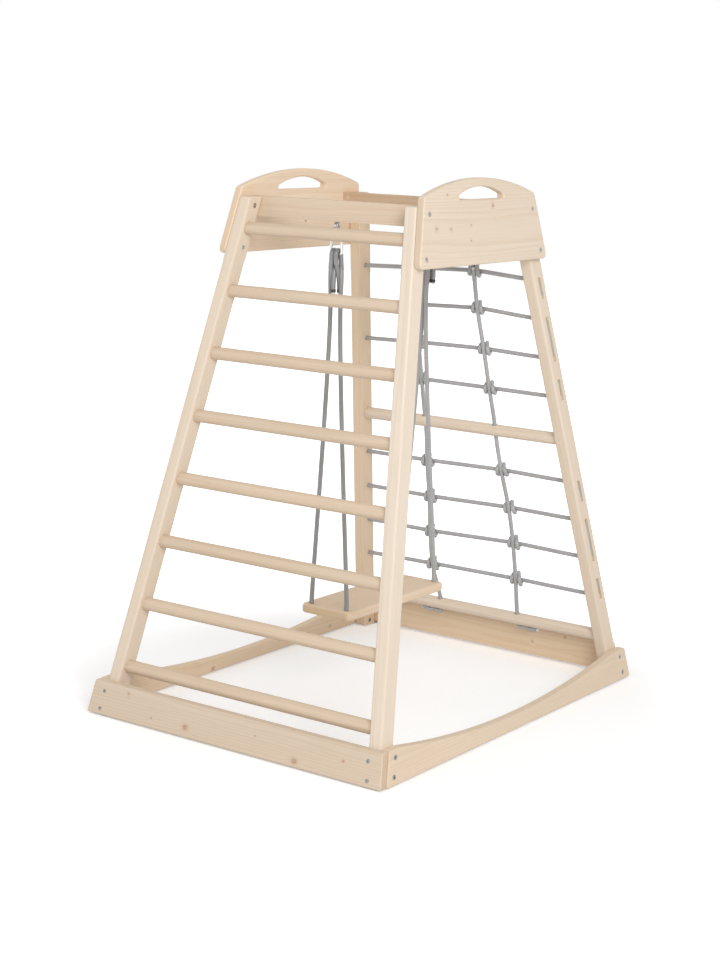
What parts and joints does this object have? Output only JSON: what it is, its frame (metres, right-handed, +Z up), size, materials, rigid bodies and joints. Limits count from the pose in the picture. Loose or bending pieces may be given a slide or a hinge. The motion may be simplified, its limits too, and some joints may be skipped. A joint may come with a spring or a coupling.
{
  "type": "climbing frame",
  "caption": "Wooden indoor climbing tower for small children: a leaning ladder of round rungs, a rope climbing net opposite, and a plank swing hung on ropes between them.",
  "frame": {"origin": "on the floor, midway between the four foot glides", "axes": "+X along the rungs to the right seen from the ladder side, +Y from the ladder to the net, +Z up"},
  "size_m": [0.7614, 1.0254, 1.155],
  "materials": {
    "wood": "satin clear varnish on natural softwood",
    "rope": "braided mid-grey rope",
    "zinc": "zinc-plated",
    "binding": "dark shrunk sleeve",
    "glide": "matt"
  },
  "bodies": {
    "frame": {"front_base_board": "wood", "front_base_board_screws": "zinc", "front_glide_left": "glide", "front_glide_right": "glide", "front_screw_eye": "zinc", "ladder_rung_1": "wood", "ladder_rung_2": "wood", "ladder_rung_3": "wood", "ladder_rung_4": "wood", "ladder_rung_5": "wood", "ladder_rung_6": "wood", "ladder_rung_7": "wood", "ladder_rung_8": "wood", "ladder_stile_left": "wood", "ladder_stile_right": "wood", "ladder_top_rail": "wood", "ladder_top_rail_screws": "zinc", "left_end_panel": "wood", "left_end_panel_bolts": "zinc", "left_end_panel_nuts": "zinc", "left_net_hitches": "rope", "left_side_board": "wood", "left_side_board_bolts": "zinc", "left_side_board_nuts": "zinc", "lower_net_rope": "rope", "net_bottom_rung": "wood", "net_middle_rung": "wood", "net_rope_left": "rope", "net_rope_right": "rope", "net_stile_left": "wood", "net_stile_right": "wood", "net_top_rail": "wood", "net_top_rail_screws": "zinc", "rear_base_board": "wood", "rear_base_board_screws": "zinc", "rear_glide_left": "glide", "rear_glide_right": "glide", "rear_screw_eye": "zinc", "right_end_panel": "wood", "right_end_panel_bolts": "zinc", "right_end_panel_nuts": "zinc", "right_net_hitches": "rope", "right_side_board": "wood", "right_side_board_bolts": "zinc", "right_side_board_nuts": "zinc", "upper_net_rope": "rope"},
    "swing": {"swing_seat": "wood", "front_swing_rope": "rope", "rear_swing_rope": "rope", "front_rope_bands": "binding", "rear_rope_bands": "binding", "front_snap_hook": "zinc", "rear_snap_hook": "zinc"},
    "front_gate": {"front_hook_gate": "zinc"},
    "rear_gate": {"rear_hook_gate": "zinc"}
  },
  "joints": [
    {"name": "swing", "type": "hinge", "parent": "frame", "child": "swing", "pos_m": [0, 0, 1.0365], "axis": [0, 1, 0], "range_deg": [-45, 45]},
    {"name": "front_gate", "type": "hinge", "parent": "swing", "child": "front_gate", "pos_m": [-0.01345, -0.17863, 1.0043], "axis": [0, 1, 0], "range_deg": [0, 25], "stiffness_Nm_per_rad": 0.05, "springref_deg": -17.19},
    {"name": "rear_gate", "type": "hinge", "parent": "swing", "child": "rear_gate", "pos_m": [-0.01345, 0.17863, 1.0043], "axis": [0, 1, 0], "range_deg": [0, 25], "stiffness_Nm_per_rad": 0.05, "springref_deg": -17.19}
  ]
}
